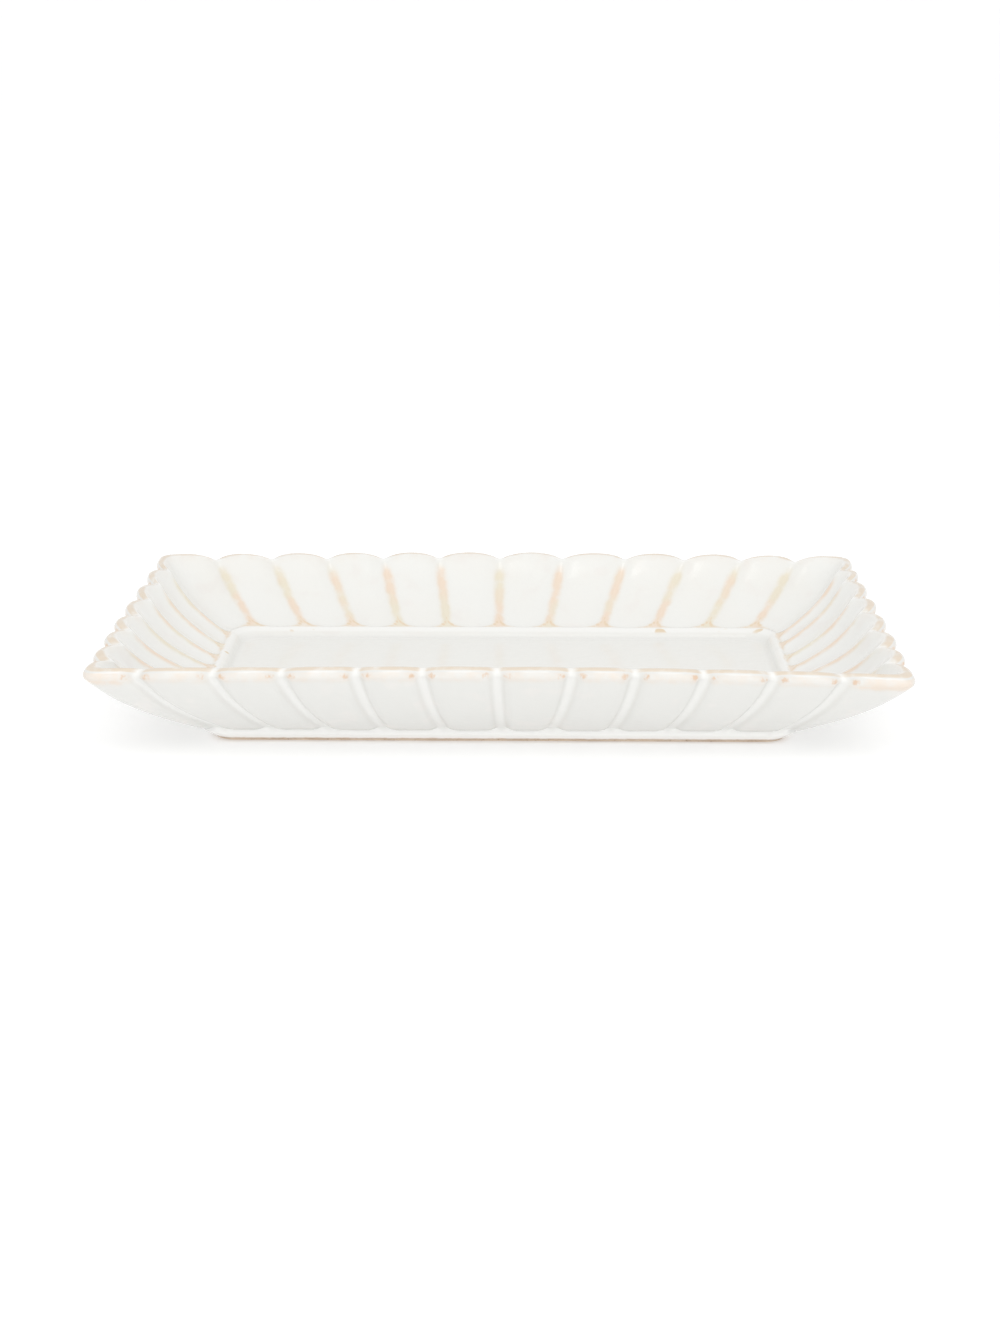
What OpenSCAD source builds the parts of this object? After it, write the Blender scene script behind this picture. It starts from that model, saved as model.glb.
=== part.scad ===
// Rectangular flared serving platter with petal-fluted walls.
// A pressed stoneware dish with a bare clay foot ring and a fused glaze coat.
// X runs along the long side, Y along the short side and Z is up.
// The origin is the middle of the face that the platter stands on.

/* [Overall size] */
// Length over the rim along X
dish_length = 330; // [310:5:360]
// Width over the rim along Y
dish_width = 204; // [196:1:230]
// Height of the rim at its four corner tips
corner_height = 42; // [40:1:46]
// Extra height of the rim at the middle of a long side
long_side_bow = 2.5; // [0:0.5:4]
// Extra height of the rim at the middle of a short side
short_side_bow = 1.7; // [0:0.1:4]

/* [Petals] */
// Width of a long side's petal at the rim
long_pitch_rim = 27.8; // [24:0.1:28]
// Width of a long side's petal at the floor
long_pitch_base = 23.3; // [19:0.1:23.4]
// Width of a short side's petal at the rim
short_pitch_rim = 28.2; // [24:0.1:28.4]
// Width of a short side's petal at the floor
short_pitch_base = 18; // [15:0.1:18.2]
// Depth of the scoop between two inside ridges
scoop_depth = 1.6; // [0.8:0.1:2]
// Height of an outside petal above the grooves beside it
lobe_relief = 1.5; // [0.8:0.1:1.8]
// How far in from the petals' tips the notches between them are
notch_inward = 4.4; // [2:0.1:4.6]
// How far below the petals' tips the notches are
notch_down = 1.5; // [0:0.1:2]

/* [Wall] */
// Radius of the rounded lip
lip_radius = 3.1; // [2.6:0.1:3.4]
// Steepness of the wall where it meets the lip, in degrees
lip_slope = 48; // [44:1:52]
// Distance from the rim in to the bottom of the inside petals
inner_foot_inset = 39; // [38:0.1:39.5]
// Height of the bottom of the inside petals
inner_foot_height = 17.6; // [17:0.1:18.2]
// Distance from the rim in to the bottom of the outside petals
outer_foot_inset = 39.7; // [39:0.1:41]
// Height of the bottom of the outside petals
outer_foot_height = 5.5; // [5:0.1:6.5]

/* [Floor and foot] */
// Height of the floor that food lies on
floor_height = 13.4; // [13:0.1:14.5]
// Distance from the rim in to the outer face of the foot
foot_inset = 45; // [43.5:0.1:46]
// Height of the bare clay ring that the platter stands on
ring_height = 0.8; // [0.6:0.1:2]
// Width of the foot ring
ring_width = 8; // [6:0.5:10]
// Height of the clay above the recess in the underside
recess_height = 6.5; // [5:0.5:7.5]

/* [Glaze] */
// Thickness of the fused glaze coat
glaze_thickness = 0.5; // [0.3:0.1:0.6]

/* [Hidden] */

half_length = dish_length / 2;
half_width = dish_width / 2;

// Sides are numbered counter-clockwise: 0 front, 1 right, 2 back, 3 left
// Whole petals on a long and on a short side, between its two corner petals
long_petals = 10;
short_petals = 6;

// The mould is cut by hand: how far each ridge is off its even place, at the rim and at the floor
rim_nudges = [
    [-5, -2.5, -3, -1, -2.5, -0.5, 1.5, -1, -1.5, -2, -2],
    [4, -2, -4, -1, -3, 2, -5],
    [-1, -3, -3.5, -3, -0.5, 2, 3.5, 2.5, 2, 1, 0],
    [8, 9, 11, 12, 8, 3, 0]
];
floor_nudges = [
    [1, -1.5, -1.5, -1.5, 0, 1, -1.5, 0, 0.5, 0.5, 1],
    [0, -2, -4, -6, -7, -4, -6],
    [0, -1, 0, 1, 2.5, 2, 2.5, 1.5, -0.5, -1, -0.5],
    [7, 10, 10, 8, 5, 2, 0]
];
// How far each corner was lifted by the firing: front left, front right, back right, back left
corner_lifts = [1.2, -0.4, 1, 1];

// Plan radius of the corners at the rim and at the foot
rim_corner_radius = 5;
foot_corner_radius = 9;

// Where the inside and outside walls run into the round lip
lip_height = corner_height - lip_radius;
lip_in_inset = lip_radius * (1 + sin(lip_slope));
lip_in_height = lip_height + lip_radius * cos(lip_slope);
lip_out_inset = lip_radius * (1 - sin(lip_slope));
lip_out_height = lip_height - lip_radius * cos(lip_slope);

// Share of each wall's rise that is straight, and the power that bends the rest up
inner_straight = 0.71;
inner_bend = 3;
outer_straight = 0.765;
outer_bend = 3.5;

// Distance from an inside ridge to the middle of its scoop, along and up the wall
scoop_reach = 12;
scoop_rise = 8;
scoop_start = 2;
// The same for the rounded edge of an outside petal, past its flat groove
lobe_reach = 5;
lobe_rise = 4.5;
groove_half_width = 1.7;
relief_power = 3;
// Part of the wall's height above which the scoops run out towards the lip
scoop_end = 0.6;
// Shape of a petal's tip, and how far the tips lean with the fan of the petals
arch_power = 2.3;
arch_lean = 0.08;
// Part of a corner petal over which its rim rises from the last notch
corner_arch_part = 0.6;

// Room between the flat-sided clay recess and the round corners of the glaze in it
base_glaze_gap = 0.1;

// Width of the bead between the petals and the floor, and the power that rounds it
bead_width = 5.6;
bead_power = 2.2;

// Stations across one petal and across a corner petal, as parts of its width
petal_stations = [0, 0.13, 0.5, 0.87];
corner_stations = [0.18, 0.5, 0.75, 0.92];
// Stations up the bead and the inside wall, round the lip and down the outside wall
bead_stations = [0.3, 0.7];
inner_stations = [0, 0.12, 0.35, 0.65, 0.9];
lip_angles = [100, 45, 0];
outer_stations = [1, 0.65, 0.3, 0.1, 0];

// Fields of one row of the section
// [inset, height, angle of the outward normal, scoop, lobe, run up the wall, arch, bow]
INSET = 0;
HEIGHT = 1;
NORMAL = 2;
SCOOP = 3;
LOBE = 4;
RUN = 5;
ARCH = 6;
BOW = 7;

function mix(a, b, part) = a + (b - a) * part;
function clip(v) = min(1, max(0, v));
function ease(v) = clip(v) * clip(v) * (3 - 2 * clip(v));
function bend(w, straight, power) = straight * w + (1 - straight) * pow(w, power);
function slope(w, straight, power) = straight + (1 - straight) * power * pow(w, power - 1);

// One row of the inside wall, from its foot at w = 0 to the lip at w = 1
function inner_row(w) =
    let (across = inner_foot_inset - lip_in_inset,
         rise = lip_in_height - inner_foot_height,
         depth = scoop_depth * (1 - ease((w - scoop_end) / (1 - scoop_end))))
    [inner_foot_inset - across * w,
     inner_foot_height + rise * bend(w, inner_straight, inner_bend),
     90 + atan2(rise * slope(w, inner_straight, inner_bend), across),
     depth, 0, norm([across, rise]) * w, pow(w, 3), pow(w, 1.5)];

// One row of the outside wall, from its foot at w = 0 to the lip at w = 1
function outer_row(w) =
    let (across = outer_foot_inset - lip_out_inset,
         rise = lip_out_height - outer_foot_height)
    [outer_foot_inset - across * w,
     outer_foot_height + rise * bend(w, outer_straight, outer_bend),
     atan2(rise * slope(w, outer_straight, outer_bend), across) - 90,
     0, lobe_relief, norm([across, rise]) * w, pow(w, 3), pow(w, 1.5)];

// One row of the round lip
function lip_row(angle) =
    [lip_radius * (1 - cos(angle)), lip_height + lip_radius * sin(angle), angle,
     0, lobe_relief * ease((90 + lip_slope - angle) / 180), 99, 1, 1];

// One row without petals
function plain_row(inset, height, angle) = [inset, height, angle, 0, 0, 99, 0, 0];

// One row of the bead, from the floor at w = 0 to the foot of the petals at w = 1
function bead_row(w) =
    let (rise = inner_foot_height - floor_height,
         steepness = rise * bead_power * pow(1 - w, bead_power - 1) / bead_width)
    plain_row(inner_foot_inset + bead_width * (1 - w),
              floor_height + rise * (1 - pow(1 - w, bead_power)), 90 + atan(steepness));

rows = concat(
    [plain_row(inner_foot_inset + bead_width, floor_height, 90)],
    [for (w = bead_stations) bead_row(w)],
    [for (w = inner_stations) inner_row(w)],
    [for (angle = lip_angles) lip_row(angle)],
    [for (w = outer_stations) outer_row(w)],
    [plain_row(foot_inset, ring_height, 0)]
);

// Corner radius of the level curve at an inset
function corner_radius(inset) =
    mix(rim_corner_radius, foot_corner_radius, clip(inset / outer_foot_inset));

// Half size along a side, and from the middle out to that side
function half_along(side) = side % 2 == 0 ? half_length : half_width;
function half_out(side) = side % 2 == 0 ? half_width : half_length;
function side_petals(side) = side % 2 == 0 ? long_petals : short_petals;
function side_bow(side) = side % 2 == 0 ? long_side_bow : short_side_bow;

// Length of the level curve at an inset, from the middle of a side to the mitre at its end
function reach(side, inset) =
    half_along(side) - inset - corner_radius(inset) * (1 - PI / 4);

// Place of a ridge on the level curve at an inset, measured along it from the middle of the side
function ridge_place(side, ridge, inset) =
    let (level = min(inset, inner_foot_inset),
         part = level / inner_foot_inset,
         pitch = side % 2 == 0 ? mix(long_pitch_rim, long_pitch_base, part)
                               : mix(short_pitch_rim, short_pitch_base, part),
         i = ridge + side_petals(side) / 2,
         nudge = mix(rim_nudges[side][i], floor_nudges[side][i], part))
    (ridge * pitch + nudge) * reach(side, inset) / reach(side, level);

// A column is [side, place], where whole places are ridges and the last part is the corner petal
function corner_part(column) = abs(column[1]) - side_petals(column[0]) / 2;
function petal_part(column) = column[1] - floor(column[1]);

// Distance from the middle of a side to the ridge beside a column's corner petal
function last_ridge(column, inset) =
    abs(ridge_place(column[0], sign(column[1]) * side_petals(column[0]) / 2, inset));

// Place of a column on the level curve at an inset, measured as a ridge's
function column_place(column, inset) =
    let (low = floor(column[1]))
    corner_part(column) > 0
        ? sign(column[1])
          * mix(last_ridge(column, inset), reach(column[0], inset), corner_part(column))
        : petal_part(column) == 0
        ? ridge_place(column[0], column[1], inset)
        : mix(ridge_place(column[0], low, inset), ridge_place(column[0], low + 1, inset),
              petal_part(column));

// Point of the level curve at a place: [along the side, out from the middle, turn of the normal]
function level_point(side, place, inset) =
    let (radius = corner_radius(inset),
         past_arc_start = max(0, abs(place) - (half_along(side) - inset - radius)),
         turn = past_arc_start / radius * 180 / PI)
    [sign(place) * (abs(place) - past_arc_start + radius * sin(turn)),
     half_out(side) - inset - radius * (1 - cos(turn)),
     sign(place) * turn];

// Width of the petal that a column crosses
function petal_width(column, inset) =
    let (low = floor(column[1]))
    ridge_place(column[0], low + 1, inset) - ridge_place(column[0], low, inset);

// Distance along the level curve from a column to the nearest ridge
function ridge_distance(column, inset) =
    corner_part(column) > 0
        ? corner_part(column) * (reach(column[0], inset) - last_ridge(column, inset))
        : petal_part(column) == 0 ? 0
        : min(petal_part(column), 1 - petal_part(column)) * petal_width(column, inset);

// Height of a petal's tip, from 0 at a notch to 1 at its top
function tip(column) =
    let (lean = 0.5 + arch_lean * (floor(column[1]) + 0.5) / side_petals(column[0]) * 2,
         part = petal_part(column),
         off = part < lean ? (lean - part) / lean : (part - lean) / (1 - lean))
    corner_part(column) > 0
        ? 1 - pow(1 - clip(corner_part(column) / corner_arch_part), arch_power)
        : corner_part(column) == 0 ? 0 : 1 - pow(off, arch_power);

// Relief with round ends: 0 on the petal's outline and 1 in its middle
function relief(across, up) = 1 - pow(min(1, norm([1 - clip(across), 1 - clip(up)])), relief_power);

// One point of the surface, sunk below the glaze by the given depth
function surface_point(column, row, sunk) =
    let (distance = ridge_distance(column, row[INSET]),
         scoop = row[SCOOP] * relief(distance / scoop_reach, (row[RUN] + scoop_start) / scoop_rise),
         lobe = row[LOBE] * (1 - relief((distance - groove_half_width) / lobe_reach,
                                        row[RUN] / lobe_rise)),
         depth = scoop + lobe + sunk,
         notch = (1 - tip(column)) * row[ARCH],
         place = level_point(column[0], column_place(column, row[INSET]), row[INSET]),
         along = place[0] / half_along(column[0]),
         corner = (column[0] + (along < 0 ? 0 : 1)) % 4,
         bow = (side_bow(column[0]) * (1 - along * along)
                + corner_lifts[corner] * pow(abs(along), 3)) * row[BOW],
         shift = depth * cos(row[NORMAL]) + notch_inward * notch,
         x = place[0] - shift * sin(place[2]),
         out = place[1] - shift * cos(place[2]),
         height = row[HEIGHT] + bow - depth * sin(row[NORMAL]) - notch_down * notch,
         turn = 90 * column[0])
    [x * cos(turn) + out * sin(turn), x * sin(turn) - out * cos(turn), height];

// Columns of one side, from after the mitre at its start to the mitre at its end
function side_columns(side) =
    let (half = side_petals(side) / 2)
    concat(
        [for (i = [len(corner_stations) - 1 : -1 : 0]) [side, -half - corner_stations[i]]],
        [for (petal = [-half : half - 1], part = petal_stations) [side, petal + part]],
        [[side, half]],
        [for (part = corner_stations) [side, half + part]],
        [[side, half + 1]]
    );

columns = [for (side = [0 : 3]) each side_columns(side)];
column_count = len(columns);

// Rows of points over the clay and over the glaze, from the floor out to the foot
clay_points = [for (row = rows) [for (column = columns) surface_point(column, row, glaze_thickness)]];
glaze_points = [for (row = rows) [for (column = columns) surface_point(column, row, 0)]];

// A ring of points on a plain level curve, for the underside
function plain_ring(inset, height) =
    [for (column = columns) surface_point(column, plain_row(inset, height, 0), 0)];

recess_inset = foot_inset + ring_width;
clay_recess = [plain_ring(recess_inset, ring_height), plain_ring(recess_inset, recess_height)];

function reversed(list) = [for (i = [len(list) - 1 : -1 : 0]) list[i]];

// A closed skin through rings of points that start and end in a flat face
module closed_skin(rings) {
    ring_count = len(rings);
    first_middle = ring_count * column_count;
    last_middle = first_middle + 1;
    last = (ring_count - 1) * column_count;
    points = concat([for (ring = rings) each ring],
                    [[0, 0, rings[0][0][2]], [0, 0, rings[ring_count - 1][0][2]]]);
    faces = concat(
        [for (i = [0 : column_count - 1])
            [first_middle, (i + 1) % column_count, i]],
        [for (r = [0 : ring_count - 2], i = [0 : column_count - 1])
            let (a = r * column_count + i, b = r * column_count + (i + 1) % column_count)
            each [[a, b, b + column_count], [a, b + column_count, a + column_count]]],
        [for (i = [0 : column_count - 1])
            [last_middle, last + i, last + (i + 1) % column_count]]
    );
    polyhedron(points = points, faces = faces, convexity = 8);
}

// A rectangle with round corners, centred on the origin
module rounded_plate(length, width, radius, height) {
    linear_extrude(height) {
        square([length - 2 * radius, width], center = true);
        square([length, width - 2 * radius], center = true);
        for (x = [-1, 1], y = [-1, 1])
            translate([x * (length / 2 - radius), y * (width / 2 - radius)])
                circle(r = radius, $fn = 64);
    }
}

// Pressed clay: floor, four flared walls and the glazed part of the foot
module stoneware_body() {
    color([0.80, 0.68, 0.55])
        closed_skin(concat(clay_points, clay_recess));
}

// Bare clay ring under the foot, the only unglazed surface
module foot_ring() {
    outer_inset = foot_inset + glaze_thickness;
    color([0.55, 0.40, 0.29])
        difference() {
            rounded_plate(dish_length - 2 * outer_inset, dish_width - 2 * outer_inset,
                          foot_corner_radius, ring_height);
            translate([0, 0, -1])
                rounded_plate(dish_length - 2 * recess_inset, dish_width - 2 * recess_inset,
                              foot_corner_radius, ring_height + 2);
        }
}

// Glaze over the floor, the walls, the lip and the outside down to the foot ring
module glaze_coat() {
    color([0.95, 0.94, 0.91])
        closed_skin(concat(glaze_points, reversed(clay_points)));
}

// Glaze in the recess of the underside: a shallow upturned tray
module base_glaze() {
    inset = recess_inset + base_glaze_gap;
    depth = recess_height - ring_height;
    color([0.92, 0.91, 0.88])
        difference() {
            translate([0, 0, ring_height])
                rounded_plate(dish_length - 2 * inset, dish_width - 2 * inset,
                              foot_corner_radius, depth);
            translate([0, 0, ring_height - 1])
                rounded_plate(dish_length - 2 * (inset + glaze_thickness),
                              dish_width - 2 * (inset + glaze_thickness),
                              foot_corner_radius - glaze_thickness, depth - glaze_thickness + 1);
        }
}

stoneware_body();
foot_ring();
glaze_coat();
base_glaze();
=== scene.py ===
"""Looks of the flared serving platter: glazed stoneware with petal-fluted walls.

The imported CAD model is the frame. Each of its four solids is replaced by a finer mesh of the same size,
worked out from the CAD boxes and the section values below, and gets a procedural material.
"""

import math
from collections import namedtuple

import bpy
import numpy as np
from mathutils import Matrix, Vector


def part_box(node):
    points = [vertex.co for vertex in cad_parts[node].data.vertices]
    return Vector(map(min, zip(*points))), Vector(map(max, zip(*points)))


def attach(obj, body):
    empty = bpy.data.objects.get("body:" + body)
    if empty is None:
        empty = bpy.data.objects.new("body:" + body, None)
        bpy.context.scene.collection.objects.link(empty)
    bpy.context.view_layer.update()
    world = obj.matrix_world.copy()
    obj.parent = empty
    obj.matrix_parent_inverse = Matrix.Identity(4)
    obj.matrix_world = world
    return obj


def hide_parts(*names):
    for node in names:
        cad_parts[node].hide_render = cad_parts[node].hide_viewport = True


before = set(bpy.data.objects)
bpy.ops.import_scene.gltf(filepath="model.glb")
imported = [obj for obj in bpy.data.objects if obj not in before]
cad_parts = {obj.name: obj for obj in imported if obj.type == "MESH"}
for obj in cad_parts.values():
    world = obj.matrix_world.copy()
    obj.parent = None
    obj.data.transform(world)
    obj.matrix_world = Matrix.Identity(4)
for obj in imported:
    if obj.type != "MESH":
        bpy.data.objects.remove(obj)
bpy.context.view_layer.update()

MM = 0.001

# ---------------------------------------------------------------- sizes

glaze_low, glaze_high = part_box("glaze_coat")
ring_low, ring_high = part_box("foot_ring")
tray_low, tray_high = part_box("base_glaze")

HALF_LENGTH = (glaze_high.x - glaze_low.x) / 2
HALF_WIDTH = (glaze_high.y - glaze_low.y) / 2
RING_HEIGHT = ring_high.z
GLAZE = 0.5 * MM
FOOT_INSET = HALF_LENGTH - ring_high.x - GLAZE
BASE_GLAZE_GAP = 0.1 * MM
RECESS_INSET = HALF_LENGTH - tray_high.x - BASE_GLAZE_GAP
RECESS_HEIGHT = tray_high.z

# Sides are numbered counter-clockwise: 0 front, 1 right, 2 back, 3 left
HALF_ALONG = [HALF_LENGTH, HALF_WIDTH, HALF_LENGTH, HALF_WIDTH]
HALF_OUT = [HALF_WIDTH, HALF_LENGTH, HALF_WIDTH, HALF_LENGTH]
PETALS = [10, 6, 10, 6]
SIDE_BOW = [2.5 * MM, 1.7 * MM, 2.5 * MM, 1.7 * MM]
PITCH_AT_RIM = [27.8 * MM, 28.2 * MM, 27.8 * MM, 28.2 * MM]
PITCH_AT_FLOOR = [23.3 * MM, 18 * MM, 23.3 * MM, 18 * MM]

# How far each ridge is off its even place, in millimetres, at the rim and at the floor
RIM_NUDGES = [
    [-5, -2.5, -3, -1, -2.5, -0.5, 1.5, -1, -1.5, -2, -2],
    [4, -2, -4, -1, -3, 2, -5],
    [-1, -3, -3.5, -3, -0.5, 2, 3.5, 2.5, 2, 1, 0],
    [8, 9, 11, 12, 8, 3, 0],
]
FLOOR_NUDGES = [
    [1, -1.5, -1.5, -1.5, 0, 1, -1.5, 0, 0.5, 0.5, 1],
    [0, -2, -4, -6, -7, -4, -6],
    [0, -1, 0, 1, 2.5, 2, 2.5, 1.5, -0.5, -1, -0.5],
    [7, 10, 10, 8, 5, 2, 0],
]
# How far each corner was lifted by the firing: front left, front right, back right, back left
CORNER_LIFTS = [1.2 * MM, -0.4 * MM, 1 * MM, 1 * MM]

RIM_CORNER_RADIUS = 5 * MM
FOOT_CORNER_RADIUS = 9 * MM

CORNER_HEIGHT = 42 * MM
LIP_RADIUS = 3.1 * MM
LIP_SLOPE = math.radians(48)
LIP_START = math.pi / 2 + LIP_SLOPE
LIP_END = LIP_SLOPE - math.pi / 2
LIP_HEIGHT = CORNER_HEIGHT - LIP_RADIUS
LIP_IN_INSET = LIP_RADIUS * (1 + math.sin(LIP_SLOPE))
LIP_IN_HEIGHT = LIP_HEIGHT + LIP_RADIUS * math.cos(LIP_SLOPE)
LIP_OUT_INSET = LIP_RADIUS * (1 - math.sin(LIP_SLOPE))
LIP_OUT_HEIGHT = LIP_HEIGHT - LIP_RADIUS * math.cos(LIP_SLOPE)

INNER_FOOT_INSET = 39 * MM
INNER_FOOT_HEIGHT = 17.6 * MM
INNER_STRAIGHT = 0.71
INNER_BEND = 3
OUTER_FOOT_INSET = 39.7 * MM
OUTER_FOOT_HEIGHT = 5.5 * MM
OUTER_STRAIGHT = 0.765
OUTER_BEND = 3.5
FLOOR_HEIGHT = 13.4 * MM
STEP_WIDTH = 5.6 * MM
BEAD_POWER = 2.2

# The hollow of an inside petal, full up to a part of the wall and gone at the lip
SCOOP_DEPTH = 1.6 * MM
SCOOP_REACH = 12 * MM
SCOOP_RISE = 8 * MM
SCOOP_START = 2 * MM
SCOOP_FULL_TO = 0.6
# The raised lobes outside, with grooves between them
LOBE_RELIEF = 1.5 * MM
LOBE_REACH = 5 * MM
LOBE_RISE = 4.5 * MM
GROOVE_HALF_WIDTH = 1.7 * MM
RELIEF_POWER = 3
# The notches between the petals' round tips, and the powers with which notches and bow fade down the wall
NOTCH_INWARD = 4.4 * MM
NOTCH_DOWN = 1.5 * MM
ARCH_POWER = 2.3
ARCH_LEAN = 0.08
CORNER_ARCH_PART = 0.6
ARCH_FADE = 3
BOW_FADE = 1.5
# How far the glaze softens a ridge's crest, and a notch's bottom as a part of the petal's width
CREST_RADIUS = 1.0 * MM
NOTCH_SOFTNESS = 0.06
# The soft waves that hand finishing and the thick glaze leave in the surface
WAVE_DEPTH = 0.25 * MM
WAVE_COUNT = 14
WAVE_LENGTHS = (14 * MM, 45 * MM)
WAVE_SEED = 5

# Mesh density: columns across a petal and a corner petal, how much they crowd towards the ridges, rows up
# each stretch of the section, and the sizes of the rings inside the edge of a flat floor
PETAL_COLUMNS = 22
CORNER_COLUMNS = 20
CROWDING = 0.6
STEP_ROWS = 8
INNER_ROWS = 26
LIP_ROWS = 14
OUTER_ROWS = 26
FOOT_ROWS = 6
FLOOR_RINGS = (0.05, 0.4, 0.7, 0.9, 0.97)

# ---------------------------------------------------------------- the surface

# The stretches of the section, in order from the middle of the floor out to the foot
STEP, INNER, LIP, OUTER, FOOT = range(5)

# inset and height place a row; normal is the angle of its outward normal; run is its distance up the wall;
# scoop, lobe, arch and bow say how much of each it takes; stretch and part say where on the section it is
Row = namedtuple("Row", "inset height normal scoop lobe run arch bow stretch part")


def mix(a, b, part):
    return a + (b - a) * part


def clip(value):
    return np.clip(value, 0, 1)


def rise(value, start, end):
    """Ease from 0 where the value is at the start to 1 where it is at the end."""
    part = clip((value - start) / (end - start))
    return part * part * (3 - 2 * part)


def bend(w, straight, power):
    return straight * w + (1 - straight) * w**power


def bend_slope(w, straight, power):
    return straight + (1 - straight) * power * w ** (power - 1)


def plain_row(inset, height, normal, stretch, part):
    return Row(inset, height, normal, 0, 0, 1, 0, 0, stretch, part)


def step_row(part):
    """The soft step from the floor, at part 0, up to the bottom of the petals, at part 1."""
    inset = INNER_FOOT_INSET + STEP_WIDTH * (1 - part)
    climb = INNER_FOOT_HEIGHT - FLOOR_HEIGHT
    height = FLOOR_HEIGHT + climb * (1 - (1 - part) ** BEAD_POWER)
    steepness = climb * BEAD_POWER * (1 - part) ** (BEAD_POWER - 1) / STEP_WIDTH
    return plain_row(inset, height, math.pi / 2 + math.atan(steepness), STEP, part)


def inner_row(w):
    across = INNER_FOOT_INSET - LIP_IN_INSET
    climb = LIP_IN_HEIGHT - INNER_FOOT_HEIGHT
    return Row(
        inset=INNER_FOOT_INSET - across * w,
        height=INNER_FOOT_HEIGHT + climb * bend(w, INNER_STRAIGHT, INNER_BEND),
        normal=math.pi / 2 + math.atan2(climb * bend_slope(w, INNER_STRAIGHT, INNER_BEND), across),
        scoop=SCOOP_DEPTH * rise(w, 1, SCOOP_FULL_TO), lobe=0, run=math.hypot(across, climb) * w,
        arch=w**ARCH_FADE, bow=w**BOW_FADE, stretch=INNER, part=w)


def outer_row(w):
    across = OUTER_FOOT_INSET - LIP_OUT_INSET
    climb = LIP_OUT_HEIGHT - OUTER_FOOT_HEIGHT
    return Row(
        inset=OUTER_FOOT_INSET - across * w,
        height=OUTER_FOOT_HEIGHT + climb * bend(w, OUTER_STRAIGHT, OUTER_BEND),
        normal=math.atan2(climb * bend_slope(w, OUTER_STRAIGHT, OUTER_BEND), across) - math.pi / 2,
        scoop=0, lobe=LOBE_RELIEF, run=math.hypot(across, climb) * w,
        arch=w**ARCH_FADE, bow=w**BOW_FADE, stretch=OUTER, part=w)


def lip_row(angle):
    return Row(
        inset=LIP_RADIUS * (1 - math.cos(angle)), height=LIP_HEIGHT + LIP_RADIUS * math.sin(angle),
        normal=angle, scoop=0, lobe=LOBE_RELIEF * rise(angle, LIP_START, LIP_END),
        run=1, arch=1, bow=1, stretch=LIP, part=math.degrees(angle))


def section(every=1):
    """The rows of the whole section, or every so many of them, as one Row of column arrays."""
    def parts(count, start=0.0, end=1.0):
        return np.linspace(start, end, max(2, count // every))

    rows = [step_row(part) for part in parts(STEP_ROWS)[:-1]]
    rows += [inner_row(w) for w in parts(INNER_ROWS)]
    rows += [lip_row(angle) for angle in parts(LIP_ROWS, LIP_START, LIP_END)[1:-1]]
    rows += [outer_row(w) for w in parts(OUTER_ROWS, 1, 0)]
    rows += [plain_row(mix(OUTER_FOOT_INSET, FOOT_INSET, part), mix(OUTER_FOOT_HEIGHT, RING_HEIGHT, part),
                       0, FOOT, part) for part in parts(FOOT_ROWS)[1:]]
    return Row(*np.array(rows, float).T[:, :, None])


def side_places(side):
    """Where the columns of one side are: whole numbers are ridges, and past the last is the corner petal."""
    half = PETALS[side] // 2
    corner = np.linspace(0, 1, CORNER_COLUMNS + 1)[1:]
    middle = np.linspace(-half, half, PETALS[side] * PETAL_COLUMNS + 1)
    crowded = middle - CROWDING * np.sin(2 * math.pi * middle) / (2 * math.pi)
    return np.concatenate([-half - corner[-2::-1], crowded, half + corner])


def corner_radius(inset):
    return mix(RIM_CORNER_RADIUS, FOOT_CORNER_RADIUS, clip(inset / OUTER_FOOT_INSET))


def reach(side, inset):
    """Length of the level curve at an inset, from the middle of a side to the mitre at its end."""
    return HALF_ALONG[side] - inset - corner_radius(inset) * (1 - math.pi / 4)


def ridge_place(side, place, inset):
    """Where a place among the ridges is on the level curve at an inset, from the middle of the side."""
    level = np.minimum(inset, INNER_FOOT_INSET)
    part = level / INNER_FOOT_INSET
    half = PETALS[side] // 2
    ridges = np.arange(-half, half + 1)
    rim_nudge = np.interp(place, ridges, RIM_NUDGES[side])
    floor_nudge = np.interp(place, ridges, FLOOR_NUDGES[side])
    pitch = mix(PITCH_AT_RIM[side], PITCH_AT_FLOOR[side], part)
    on_level = place * pitch + mix(rim_nudge, floor_nudge, part) * MM
    return on_level * reach(side, inset) / reach(side, level)


def soft(distance, radius):
    """A distance whose sharp zero is rounded to a radius."""
    return np.hypot(distance, radius) - radius


def petal_tip(side, place, corner_part):
    """How high a petal's tip is, from 0 at a notch to 1 at its top."""
    low = np.floor(place)
    lean = 0.5 + ARCH_LEAN * (low + 0.5) / PETALS[side] * 2
    part = place - low
    from_notch = np.where(part < lean, part / lean, (1 - part) / (1 - lean))
    from_notch = np.where(corner_part > 0, clip(corner_part / CORNER_ARCH_PART), from_notch)
    return 1 - (1 - soft(from_notch, NOTCH_SOFTNESS)) ** ARCH_POWER


def relief(across, up):
    """0 on a petal's outline and 1 in its middle, with round ends."""
    return 1 - np.minimum(1, np.hypot(1 - clip(across), 1 - clip(up))) ** RELIEF_POWER


def hand_waves(x, y, z):
    """How far the hand-finished surface is sunk at a point, from 0 to 1: soft waves in every direction."""
    draw = np.random.default_rng(WAVE_SEED)
    total = 0
    for _ in range(WAVE_COUNT):
        direction = draw.normal(size=3)
        direction /= np.linalg.norm(direction)
        length = draw.uniform(*WAVE_LENGTHS)
        along = x * direction[0] + y * direction[1] + z * direction[2]
        total = total + np.sin(2 * math.pi * along / length + draw.uniform(0, 2 * math.pi))
    return clip(0.5 + total / WAVE_COUNT)


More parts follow.
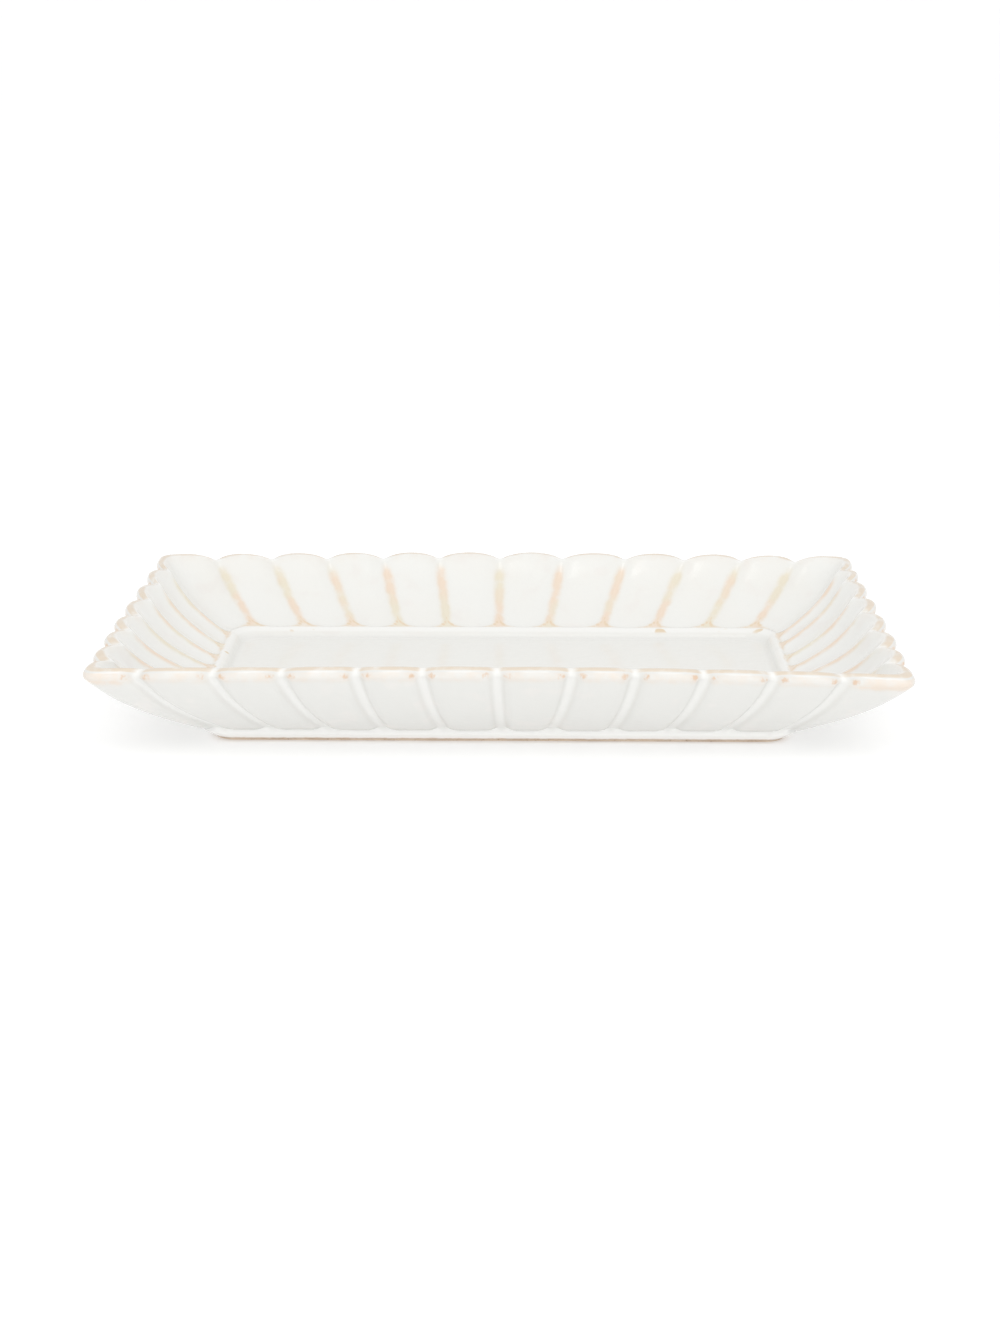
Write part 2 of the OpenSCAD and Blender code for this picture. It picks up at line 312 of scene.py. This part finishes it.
def side_surface(side, rows, sunk):
    """The points of one side, sunk below the glaze by a depth.

    For the glaze masks, each point also gets its distance from the nearest ridge, and how far along a corner
    petal it is.
    """
    places = side_places(side)
    half = PETALS[side] // 2
    corner_part = clip(np.abs(places) - half)
    inset = rows.inset

    last_ridge = np.abs(ridge_place(side, np.sign(places) * half, inset))
    corner_run = corner_part * (reach(side, inset) - last_ridge)
    regular = ridge_place(side, np.clip(places, -half, half), inset)
    level_place = np.where(corner_part > 0, np.sign(places) * (last_ridge + corner_run), regular)

    low = np.clip(np.floor(places), -half, half - 1)
    from_low = regular - ridge_place(side, low, inset)
    to_high = ridge_place(side, low + 1, inset) - regular
    distance = np.where(corner_part > 0, corner_run, np.minimum(from_low, to_high))

    radius = corner_radius(inset)
    past_arc_start = np.maximum(0, np.abs(level_place) - (HALF_ALONG[side] - inset - radius))
    turn = np.sign(places) * past_arc_start / radius
    along = np.sign(level_place) * (np.abs(level_place) - past_arc_start) + radius * np.sin(turn)
    out = HALF_OUT[side] - inset - radius * (1 - np.cos(turn))

    part = along / HALF_ALONG[side]
    lift = np.where(part < 0, CORNER_LIFTS[side], CORNER_LIFTS[(side + 1) % 4])
    bow = (SIDE_BOW[side] * (1 - part**2) + lift * np.abs(part) ** 3) * rows.bow

    cos, sin = math.cos(side * math.pi / 2), math.sin(side * math.pi / 2)
    waves = WAVE_DEPTH * hand_waves(along * cos + out * sin, along * sin - out * cos, rows.height)
    scoop = rows.scoop * relief(soft(distance, CREST_RADIUS) / SCOOP_REACH,
                                (rows.run + SCOOP_START) / SCOOP_RISE)
    lobe = rows.lobe * (1 - relief((distance - GROOVE_HALF_WIDTH) / LOBE_REACH, rows.run / LOBE_RISE))
    depth = scoop + lobe + waves + sunk
    notch = (1 - petal_tip(side, places, corner_part)) * rows.arch

    shift = depth * np.cos(rows.normal) + NOTCH_INWARD * notch
    x = along - shift * np.sin(turn)
    out = out - shift * np.cos(turn)
    z = rows.height + bow - depth * np.sin(rows.normal) - NOTCH_DOWN * notch
    return np.stack([x * cos + out * sin, x * sin - out * cos, z], axis=-1), distance, np.abs(corner_run)


def surface(rows, sunk=0.0):
    """Rings of points round the whole dish, and the distances of the points for the glaze masks."""
    sides = [side_surface(side, rows, sunk) for side in range(4)]
    return [np.concatenate(parts, 1) for parts in zip(*sides)]


# ---------------------------------------------------------------- where the glaze changes, and where light and shade are painted

# Tan bands up the inside ridges: half width at foot and top, flare of the foot, and where they run out
BAND_AT_FOOT = 2.2 * MM
BAND_AT_TOP = 2.7 * MM
BAND_FLARE = 2.5 * MM
BAND_FLARE_RISE = 1.6 * MM
BAND_FADE_BELOW_LIP = 9 * MM
BAND_PAST_WALL = 2 * MM

# Tan line round the bottoms of the inside petals: width, least height, how strong it is away from the
# ridges, how much more it is at them and how far along that reaches, and where it spills over the step
LINE_WIDTH = 1.0 * MM
LINE_LOWEST = 0.5 * MM
LINE_AWAY = 0.12
LINE_MORE_AT_RIDGE = 1.1
LINE_REACH = 7 * MM
SPILL_REACH = 6 * MM
SPILL_START = 0.7

# Bands along the lip, as angles round it in degrees: 138 at the inside wall, 90 on top and -42 outside
# the crest: tan where the glaze breaks over the top of the lip, partly a painted reflection of a darker
# surround
CREST_OUTSIDE = (42, 56)
CREST_INSIDE = (130, 96)
LOWER_BAND = (38, 26)
INSIDE_BAND = (90, 110)
# painted shade: the angles over which the lip's darker tone comes in
LIP_TONE = (66, 46)
SPOT_ANGLE, SPOT_SPREAD = 2, 34
# Places across the notches: the white patch over each, and the orange blotches beside it
WHITE_PATCH = 1.9 * MM
CREST_UNDER_WHITE = 0.3
SPOT_DISTANCE, SPOT_WIDTH = 4.2 * MM, 2.0 * MM
# Strengths of the pale tan round the lip, which grows on the corner petals
LOWER_STRENGTH = 0.62
LOWER_REGULAR, LOWER_CORNER = 0.8, 1.2
OUTLINE_REGULAR, OUTLINE_CORNER = 0.45, 1.25
OUTLINE_WIDTH = 0.035
INSIDE_STRENGTH = 0.3
INSIDE_DEPTH = 4 * MM
CORNER_RUN = (5 * MM, 9 * MM)

# Outside: white grooves, thin lines of painted shade along the lobes' edges, the heights where the lobes'
# painted shade starts and the foot's painted light ends, and the brown end of the glaze
GROOVE_WHITE = 2.0 * MM
LOBE_EDGE_OUT, LOBE_EDGE_WIDTH = 0.8 * MM, 0.7 * MM
LOBE_EDGE_RISE = 6 * MM
LOBE_TONE_RISE = 3 * MM
FOOT_TONE_RISE = 3.5 * MM
FOOT_END_WIDTH = 0.22

# Parts of the step, from the floor at 0 to the petals at 1
LEDGE_START = (0.25, 0.45)
LEDGE_END = (0.93, 1)
LEDGE_END_FADE = 0.6
FLOOR_END = (0.25, 0.05)


def bump(value, centre, width):
    """1 at the centre, falling off to both sides over a width."""
    return np.exp(-(((value - centre) / width) ** 2))


def ridge_masks(rows, distance, step, inner):
    """Tan bands up the inside ridges, and a line round the bottoms of the inside petals."""
    run, wall_length = rows.run, rows.run[inner].max()
    half_width = mix(BAND_AT_TOP, BAND_AT_FOOT, clip(1 - run / wall_length))
    half_width = half_width + BAND_FLARE * np.exp(-run / BAND_FLARE_RISE)
    fade = rise(run, wall_length + BAND_PAST_WALL, wall_length - BAND_FADE_BELOW_LIP)

    from_middle = clip(distance / SCOOP_REACH)
    bottom = SCOOP_RISE * (1 - np.sqrt(1 - (1 - from_middle) ** 2)) - SCOOP_START
    line = bump(run, np.maximum(bottom, LINE_LOWEST), LINE_WIDTH)
    strength = LINE_AWAY + LINE_MORE_AT_RIDGE * bump(distance, 0, LINE_REACH)
    spill = bump(distance, 0, SPILL_REACH) * rise(rows.part, SPILL_START, 1)
    return {
        "ridge": bump(distance, 0, half_width) * fade * inner,
        "ridge_foot": line * strength * inner + spill * step,
    }


def lip_masks(rows, distance, corner, inner, lip, outer):
    """Tan along the lip, partly painted reflection at its crest, a white patch at each notch and orange
    blotches beside it.
    """
    angle, wall_length = rows.part, rows.run[inner].max()
    white = bump(distance, 0, WHITE_PATCH)
    at_corner = rise(corner, *CORNER_RUN)
    crest = rise(angle, *CREST_OUTSIDE) * rise(angle, *CREST_INSIDE)
    lower = LOWER_STRENGTH * rise(angle, *LOWER_BAND) * mix(LOWER_REGULAR, LOWER_CORNER, at_corner)
    outline = bump(rows.part, 1, OUTLINE_WIDTH) * mix(OUTLINE_REGULAR, OUTLINE_CORNER, at_corner)
    below_rim = rise(rows.run, wall_length - INSIDE_DEPTH, wall_length)
    inside_rim = INSIDE_STRENGTH * (rise(angle, *INSIDE_BAND) * lip + below_rim * inner)
    return {
        # tan crest, partly a painted reflection of a darker surround
        "crest": crest * lip * mix(1, CREST_UNDER_WHITE, white),
        "edge": (lower * lip + outline * outer + inside_rim) * (1 - white),
        "spots": bump(distance, SPOT_DISTANCE, SPOT_WIDTH) * bump(angle, SPOT_ANGLE, SPOT_SPREAD) * lip,
        # painted shade: the lip's darker tone
        "lip": rise(angle, *LIP_TONE) * lip,
    }


def outside_masks(rows, distance, lip, outer, foot):
    """White grooves, painted shade on the lobes and their edges, painted light on the foot band, and the
    glaze's brown end.
    """
    # painted shade: a thin darker line along each lobe's edge, just outside the groove
    lobe_edge_shade = bump(distance, GROOVE_HALF_WIDTH + LOBE_EDGE_OUT, LOBE_EDGE_WIDTH)
    return {
        "groove": bump(distance, 0, GROOVE_WHITE) * (outer | lip),
        "lobe_edge_shade": lobe_edge_shade * rise(rows.run, 0, LOBE_EDGE_RISE) * outer,
        # painted shade: the darker tone of the outside lobes
        "lobe": rise(rows.run, 0, LOBE_TONE_RISE) * outer,
        # painted light: the brighter tone of the foot band
        "foot": foot + rise(rows.run, FOOT_TONE_RISE, 0) * outer,
        "foot_end": bump(rows.part, 1, FOOT_END_WIDTH) * foot,
    }


def floor_masks(part, step):
    """The floor, and the ledge that rises round it."""
    ledge_end = 1 - LEDGE_END_FADE * rise(part, *LEDGE_END)
    return {
        # the ledge, which carries its clay dots and the painted highlight of its white band
        "ledge": rise(part, *LEDGE_START) * ledge_end * step,
        # the floor of the dish, which carries painted shade
        "floor": rise(part, *FLOOR_END) * step,
    }


def glaze_masks(rows, distance, corner):
    """Where the glaze breaks to tan, where it is whiter, and where light and shade are painted."""
    step, inner, lip, outer, foot = (rows.stretch == stretch for stretch in (STEP, INNER, LIP, OUTER, FOOT))
    masks = {
        **ridge_masks(rows, distance, step, inner),
        **lip_masks(rows, distance, corner, inner, lip, outer),
        **outside_masks(rows, distance, lip, outer, foot),
        **floor_masks(rows.part, step),
    }
    return {name: np.broadcast_to(mask, distance.shape) for name, mask in masks.items()}


# ---------------------------------------------------------------- meshes

def floor_rings(edge):
    """Level rings that shrink from a ring at the edge of a floor to near its middle, the smallest first."""
    middle = edge.mean(0)
    return np.stack([middle + (edge - middle) * part for part in FLOOR_RINGS])


def piece_from(name, points, faces, masks):
    """A smooth mesh object, with masks as point attributes."""
    mesh = bpy.data.meshes.new(name)
    mesh.from_pydata(points.tolist(), [], faces)
    for mask, values in masks.items():
        attribute = mesh.attributes.new(mask, "FLOAT", "POINT")
        attribute.data.foreach_set("value", values.astype(np.float32))
    mesh.polygons.foreach_set("use_smooth", np.ones(len(mesh.polygons), bool))
    mesh.update()
    piece = bpy.data.objects.new(name, mesh)
    bpy.context.scene.collection.objects.link(piece)
    return piece


def ring_quads(index):
    """Faces between each ring of point numbers and the next."""
    after = np.roll(index, -1, axis=1)
    return np.stack([index[:-1], after[:-1], after[1:], index[1:]], axis=-1).reshape(-1, 4).tolist()


def closed_skin(name, rings, masks=None):
    """A closed mesh through rings of points, fanned shut at both ends."""
    ring_count, around = rings.shape[:2]
    points = np.concatenate([rings.reshape(-1, 3), [rings[0].mean(0), rings[-1].mean(0)]])
    index = np.arange(ring_count * around).reshape(ring_count, around)
    after = np.roll(index, -1, axis=1)
    first_fan = np.stack([np.full(around, len(points) - 2), after[0], index[0]], axis=-1)
    last_fan = np.stack([np.full(around, len(points) - 1), index[-1], after[-1]], axis=-1)
    filled = {mask: np.append(values.ravel(), [values[0].mean(), values[-1].mean()])
              for mask, values in (masks or {}).items()}
    return piece_from(name, points, ring_quads(index) + first_fan.tolist() + last_fan.tolist(), filled)


def closed_loop(name, rings):
    """A closed ring-shaped mesh through rings of points, of which the last joins the first."""
    index = np.arange(rings.shape[0] * rings.shape[1]).reshape(rings.shape[:2])
    return piece_from(name, rings.reshape(-1, 3), ring_quads(np.concatenate([index, index[:1]])), {})


def glaze_coat():
    """The fused glaze: a thin closed shell from the floor over the lip to the foot ring."""
    fine, distance, corner = surface(section())
    coarse = surface(section(every=3), sunk=GLAZE)[0]
    top, bottom = floor_rings(fine[0]), floor_rings(coarse[0])
    masks = glaze_masks(section(), distance, corner)
    before = {name: np.full(top.shape[:2], float(name == "floor")) for name in masks}
    plain_after = np.zeros((len(coarse) + len(bottom), coarse.shape[1]))
    masks = {name: np.concatenate([before[name], masks[name], plain_after]) for name in masks}
    rings = np.concatenate([top, fine, coarse[::-1], bottom[::-1]])
    return closed_skin("glaze_coat_fine", rings, masks)


def plain_rings(corners):
    """Level rings of points on the underside, one for each (inset, height)."""
    rows = [plain_row(inset, height, 0, FOOT, 1) for inset, height in corners]
    return surface(Row(*np.array(rows, float).T[:, :, None]), sunk=-WAVE_DEPTH / 2)[0]


def stoneware_body():
    """The pressed clay under the glaze."""
    skin = surface(section(every=3), sunk=GLAZE)[0]
    recess = plain_rings([(RECESS_INSET, RING_HEIGHT), (RECESS_INSET, RECESS_HEIGHT)])
    return closed_skin("stoneware_body_fine",
                       np.concatenate([floor_rings(skin[0]), skin, recess, floor_rings(recess[-1])[::-1]]))


def rounded(corner, radius, start, end):
    """Points (inset, height) round a corner's centre, from one angle to another."""
    return [(corner[0] - radius * math.cos(angle), corner[1] + radius * math.sin(angle))
            for angle in np.radians(np.linspace(start, end, 5))]


def foot_ring():
    """The bare clay ring, with edges worn round by grinding."""
    outer, inner = FOOT_INSET + GLAZE, RECESS_INSET
    worn, crisp = 0.35 * MM, 0.02 * MM
    flat = [(mix(outer + worn, inner - worn, part), 0) for part in np.linspace(0, 1, 7)[1:-1]]
    section_points = (rounded((outer + crisp, RING_HEIGHT - crisp), crisp, 90, 0)
                      + rounded((outer + worn, worn), worn, 0, -90) + flat
                      + rounded((inner - worn, worn), worn, -90, -180)
                      + rounded((inner - crisp, RING_HEIGHT - crisp), crisp, 180, 90))
    return closed_loop("foot_ring_fine", plain_rings(section_points))


def base_glaze():
    """The glaze in the recess: a shallow upturned tray with a round rim and round corners inside."""
    outer = HALF_LENGTH - tray_high.x
    inner = outer + GLAZE
    rim, fillet = GLAZE / 2, 2 * MM
    ceiling = RECESS_HEIGHT - GLAZE
    section_points = ([(outer + 3 * MM, RECESS_HEIGHT), (outer, RECESS_HEIGHT)]
                      + [(outer, mix(RECESS_HEIGHT, RING_HEIGHT + rim, part)) for part in (0.3, 0.6)]
                      + rounded((outer + rim, RING_HEIGHT + rim), rim, 0, -180)
                      + rounded((inner + fillet, ceiling - fillet), fillet, 0, 90)
                      + [(inner + 6 * MM, ceiling)])
    rings = plain_rings(section_points)
    return closed_skin("base_glaze_fine",
                       np.concatenate([floor_rings(rings[0]), rings, floor_rings(rings[-1])[::-1]]))


# ---------------------------------------------------------------- materials

# Noises: how many blotches go into a metre, the detail, and the roughness where it isn't one half
WIDE_NOISE = (38, 2)
PATCH_NOISE = (75, 2)
DOT_NOISE = (110, 1)
BLOTCH_NOISE = (190, 3)
FINE_NOISE = (330, 3)
SPOT_NOISE = (520, 3, 0.6)
MOTTLE_NOISE = (120, 4)
IRON_NOISE = (900, 2)
GRIT_NOISE = (1500, 4, 0.7)
# Most of a noise lies between these values
NOISE_RANGE = (0.3, 0.7)

# The glaze, as linear colours: its two creams, its faintly pink patches, the clay that shows in dots on the
# ledge and the two tans of the inside ridges, each with the values of its noise between which it comes in
CREAMS = ((0.815, 0.814, 0.787), (0.815, 0.807, 0.774))
CREAM_RANGE = (0.35, 0.7)
PINK_PATCH = (0.795, 0.762, 0.733)
PINK_STRENGTH = 0.4
PINK_RANGE = (0.54, 0.7)
DOT_TAN = (0.74, 0.61, 0.45)
DOT_RANGE = (0.69, 0.75)
RIDGE_TANS = ((0.805, 0.67, 0.55), (0.77, 0.71, 0.58))
RIDGE_TAN_RANGE = (0.42, 0.58)
# How glossy the glaze is, how strong its fine texture is, and how much of that is pits
GLAZE_ROUGHNESS = (0.1, 0.22)
GLAZE_TEXTURE = 0.12
PIT_SHARE = 0.4
TEXTURE_DEPTH = 0.4 * MM
# Painted light and shade by mask: painted shade darkens the lobes and the lip, painted light brightens the
# foot band; mask and colour
PAINTED_LIGHT_TONES = [
    # painted shade: the outside lobes darker
    ("lobe", (0.735, 0.733, 0.708)),
    # painted light: the foot band brighter
    ("foot", (0.95, 0.948, 0.93)),
    # painted shade: the lip darker
    ("lip", (0.73, 0.728, 0.705)),
]
# Whiter grooves, a painted highlight on the ledge and painted shade on the floor of the dish: mask, strength
# and colour
PAINTED_LIGHT_AND_WHITE_GROOVES = [
    ("groove", 0.7, (0.85, 0.848, 0.826)),
    # painted highlight: the ledge's white band
    ("ledge", 0.9, (0.85, 0.847, 0.825)),
    # painted shade: the floor of the dish a little darker
    ("floor", 0.9, (0.79, 0.787, 0.76)),
]
# Where it breaks to tan, and the painted shade lines along the lobes: mask, the noise that breaks it up and
# by how much, the mask values where it starts and is full, its strength, and its colour, which is None for
# the tans of the ridges
BREAKS_AND_PAINTED_SHADE = [
    # painted shade: thin grey lines along the lobes' edges
    ("lobe_edge_shade", BLOTCH_NOISE, 1.2, 0.1, 1, 0.18, (0.66, 0.64, 0.60)),
    ("ridge", BLOTCH_NOISE, 1.9, 0.06, 1, 0.98, None),
    ("ridge_foot", FINE_NOISE, 1.2, 0.08, 1, 1, (0.75, 0.61, 0.45)),
    # tan crest, partly a painted reflection of a darker surround
    ("crest", BLOTCH_NOISE, 2.1, 0.12, 1.15, 0.95, (0.71, 0.61, 0.495)),
    ("edge", BLOTCH_NOISE, 2.4, 0.05, 1.15, 0.85, (0.765, 0.665, 0.57)),
    ("spots", SPOT_NOISE, 3, 0.35, 1.15, 0.85, (0.70, 0.50, 0.35)),
    ("foot_end", FINE_NOISE, 1.4, 0.2, 1.1, 1, (0.68, 0.50, 0.36)),
]


class Paint:
    """A procedural material: small helpers to build its node tree."""

    def __init__(self, name):
        self.material = bpy.data.materials.new(name)
        self.material.use_nodes = True
        self.nodes = self.material.node_tree.nodes
        self.links = self.material.node_tree.links
        self.shader = self.nodes["Principled BSDF"]
        self.place = self.nodes.new("ShaderNodeTexCoord").outputs["Object"]

    def put(self, value, socket):
        """Feed a socket with another socket, a number or a colour."""
        if isinstance(value, tuple):
            socket.default_value = (*value, 1)
        elif isinstance(value, (int, float)):
            socket.default_value = value
        else:
            self.links.new(value, socket)

    def mask(self, name):
        node = self.nodes.new("ShaderNodeAttribute")
        node.attribute_name = name
        return node.outputs["Fac"]

    def noise(self, scale, detail=3, roughness=0.5):
        node = self.nodes.new("ShaderNodeTexNoise")
        self.put(scale, node.inputs["Scale"])
        self.put(detail, node.inputs["Detail"])
        self.put(roughness, node.inputs["Roughness"])
        self.put(self.place, node.inputs["Vector"])
        return node.outputs["Fac"]

    def ramp(self, value, low, high, to_low=0.0, to_high=1.0):
        """Ease a value between two bounds to another range."""
        node = self.nodes.new("ShaderNodeMapRange")
        node.interpolation_type = "SMOOTHSTEP"
        for socket, number in (("Value", value), ("From Min", low), ("From Max", high),
                               ("To Min", to_low), ("To Max", to_high)):
            self.put(number, node.inputs[socket])
        return node.outputs["Result"]

    def maths(self, kind, a, b):
        node = self.nodes.new("ShaderNodeMath")
        node.operation = kind
        self.put(a, node.inputs[0])
        self.put(b, node.inputs[1])
        return node.outputs[0]

    def blend(self, part, low, high):
        node = self.nodes.new("ShaderNodeMix")
        node.data_type = "RGBA"
        self.put(part, node.inputs["Factor"])
        self.put(low, node.inputs["A"])
        self.put(high, node.inputs["B"])
        return node.outputs["Result"]

    def blotchy(self, mask, noise, amount, low, high, strength):
        """A mask whose edge is broken up by a noise."""
        uneven = self.maths("MULTIPLY", self.maths("SUBTRACT", noise, 0.5), amount)
        return self.ramp(self.maths("MULTIPLY", mask, self.maths("ADD", uneven, 1)), low, high, 0, strength)

    def texture(self, value, strength, distance):
        """Bumps too small for the mesh."""
        node = self.nodes.new("ShaderNodeBump")
        self.put(strength, node.inputs["Strength"])
        self.put(distance, node.inputs["Distance"])
        self.put(value, node.inputs["Height"])
        self.put(node.outputs["Normal"], self.shader.inputs["Normal"])

    def finish(self, colour, roughness):
        self.put(colour, self.shader.inputs["Base Color"])
        self.put(roughness, self.shader.inputs["Roughness"])
        return self.material


def cream_glaze():
    """Off-white glossy glaze that breaks to tan on its edges and is whiter in the grooves, with painted
    light and shade.
    """
    paint = Paint("cream_glaze")
    wide = paint.noise(*WIDE_NOISE)
    noises = {settings: paint.noise(*settings) for settings in (BLOTCH_NOISE, FINE_NOISE, SPOT_NOISE)}
    colour = paint.blend(paint.ramp(wide, *CREAM_RANGE), *CREAMS)
    # painted shade on the lobes and the lip, painted light on the foot band
    for mask, tone in PAINTED_LIGHT_TONES:
        colour = paint.blend(paint.mask(mask), colour, tone)
    patches = paint.ramp(paint.noise(*PATCH_NOISE), *PINK_RANGE, 0, PINK_STRENGTH)
    colour = paint.blend(patches, colour, PINK_PATCH)
    for mask, strength, tone in PAINTED_LIGHT_AND_WHITE_GROOVES:
        # whiter grooves, a painted highlight on the ledge and painted shade on the floor of the dish
        colour = paint.blend(paint.ramp(paint.mask(mask), 0, 1, 0, strength), colour, tone)
    dots = paint.ramp(paint.noise(*DOT_NOISE), *DOT_RANGE)
    colour = paint.blend(paint.maths("MULTIPLY", paint.mask("ledge"), dots), colour, DOT_TAN)
    ridge_tan = paint.blend(paint.ramp(wide, *RIDGE_TAN_RANGE), *RIDGE_TANS)
    for mask, noise, amount, low, high, strength, tone in BREAKS_AND_PAINTED_SHADE:
        broken = paint.blotchy(paint.mask(mask), noises[noise], amount, low, high, strength)
        colour = paint.blend(broken, colour, tone or ridge_tan)
    pits = paint.maths("MULTIPLY", noises[SPOT_NOISE], PIT_SHARE)
    paint.texture(paint.maths("ADD", noises[FINE_NOISE], pits), GLAZE_TEXTURE, TEXTURE_DEPTH)
    return paint.finish(colour, paint.ramp(noises[BLOTCH_NOISE], *NOISE_RANGE, *GLAZE_ROUGHNESS))


def unglazed(name, pale, dark, speck):
    """Unglazed stoneware: mottled, speckled with iron and gritty."""
    paint = Paint(name)
    grit = paint.noise(*GRIT_NOISE)
    colour = paint.blend(paint.ramp(paint.noise(*MOTTLE_NOISE), *NOISE_RANGE), dark, pale)
    colour = paint.blend(paint.ramp(paint.noise(*IRON_NOISE), 0.62, 0.7, 0, 0.7), colour, speck)
    paint.texture(grit, 0.5, TEXTURE_DEPTH)
    return paint.finish(colour, paint.ramp(grit, *NOISE_RANGE, 0.7, 0.95))


def recess_glaze():
    """The thinner glaze of the recess, a little greyer and less even, with iron specks."""
    paint = Paint("base_glaze")
    pale, grey, speck = (0.78, 0.765, 0.72), (0.72, 0.69, 0.63), (0.45, 0.34, 0.25)
    fine = paint.noise(300, 3)
    colour = paint.blend(paint.ramp(paint.noise(40, 3), *NOISE_RANGE), pale, grey)
    colour = paint.blend(paint.ramp(paint.noise(700, 2), 0.66, 0.74, 0, 0.6), colour, speck)
    paint.texture(fine, 0.15, 0.5 * MM)
    return paint.finish(colour, paint.ramp(fine, *NOISE_RANGE, 0.18, 0.35))


def studio_white(name, glow):
    """Matt white that also glows a little, like lit paper."""
    paint = Paint(name)
    paint.put((1.0, 1.0, 1.0), paint.shader.inputs["Emission Color"])
    paint.put(glow, paint.shader.inputs["Emission Strength"])
    fibre = paint.noise(60, 3)
    colour = paint.blend(fibre, (0.72, 0.72, 0.72), (0.74, 0.74, 0.74))
    return paint.finish(colour, paint.ramp(fibre, *NOISE_RANGE, 0.85, 0.95))


# ---------------------------------------------------------------- the pieces

# Pale, dark and speck colours of the clay under the glaze, and of the foot that was fired bare
COVERED_CLAY = ((0.62, 0.50, 0.38), (0.52, 0.40, 0.29), (0.30, 0.20, 0.13))
BARE_CLAY = ((0.74, 0.62, 0.50), (0.62, 0.50, 0.39), (0.34, 0.23, 0.16))

# Each piece, the node it replaces, its slot and its material
PIECES = [
    (glaze_coat(), "glaze_coat", "cream_glaze", cream_glaze()),
    (stoneware_body(), "stoneware_body", "fired_clay", unglazed("fired_clay", *COVERED_CLAY)),
    (foot_ring(), "foot_ring", "bare_clay", unglazed("bare_clay", *BARE_CLAY)),
    (base_glaze(), "base_glaze", "base_glaze", recess_glaze()),
]
for piece, node, slot, material in PIECES:
    piece.data.materials.append(material)
    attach(piece, "root")
    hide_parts(node)

# ---------------------------------------------------------------- floor, light and camera

# The floor lies a hair below the foot, and is turned up at its far edges to fill the view past the horizon
FLOOR_DROP = 0.2 * MM
FLOOR_HALF = 60
FLOOR_EDGE_HEIGHT = 8
FLOOR_GLOW = 0.32
SKY_STRENGTH = 0.91

# The camera stands in front of the platter, a little above it, and looks down at it
CAMERA_LENS = 63.06
CAMERA_PLACE = (0.01306, -0.97626, 0.29614)
CAMERA_DOWN = math.radians(15.839)
CAMERA_TURN = math.radians(0.801)

floor_mesh = bpy.data.meshes.new("floor")
floor_mesh.from_pydata(
    [(x * FLOOR_HALF, y * FLOOR_HALF, z) for z in (-FLOOR_DROP, FLOOR_EDGE_HEIGHT)
     for x, y in ((-1, -1), (1, -1), (1, 1), (-1, 1))],
    [], [(0, 1, 2, 3), (0, 4, 5, 1), (1, 5, 6, 2), (2, 6, 7, 3), (3, 7, 4, 0)])
floor = bpy.data.objects.new("floor", floor_mesh)
bpy.context.scene.collection.objects.link(floor)
floor.data.materials.append(studio_white("floor_paper", FLOOR_GLOW))

world = bpy.data.worlds.new("studio")
bpy.context.scene.world = world
world.use_nodes = True
world.node_tree.nodes["Background"].inputs["Color"].default_value = (1, 1, 1, 1)
world.node_tree.nodes["Background"].inputs["Strength"].default_value = SKY_STRENGTH


def softbox(name, place, aim, size, power):
    """A rectangular studio lamp, with its size in metres and its power in watts, that faces a point."""
    data = bpy.data.lights.new(name, "AREA")
    data.shape = "RECTANGLE"
    data.size, data.size_y = size
    data.energy = power
    light = bpy.data.objects.new(name, data)
    light.location = place
    direction = np.array(aim) - np.array(place)
    light.rotation_euler = (math.atan2(math.hypot(*direction[:2]), -direction[2]), 0,
                            math.atan2(direction[1], direction[0]) - math.pi / 2)
    bpy.context.scene.collection.objects.link(light)


softbox("front_high", (0.1, -1.15, 1.3), (0, -0.05, 0), (1.5, 0.75), 7)
softbox("front_low", (0.3, -2.4, 0.55), (0, 0, 0.02), (2.6, 0.9), 5.5)

camera_data = bpy.data.cameras.new("camera")
camera_data.lens = CAMERA_LENS
camera = bpy.data.objects.new("camera", camera_data)
camera.location = CAMERA_PLACE
camera.rotation_euler = (math.pi / 2 - CAMERA_DOWN, 0, CAMERA_TURN)
bpy.context.scene.collection.objects.link(camera)
bpy.context.scene.camera = camera
bpy.context.scene.view_settings.view_transform = "Standard"
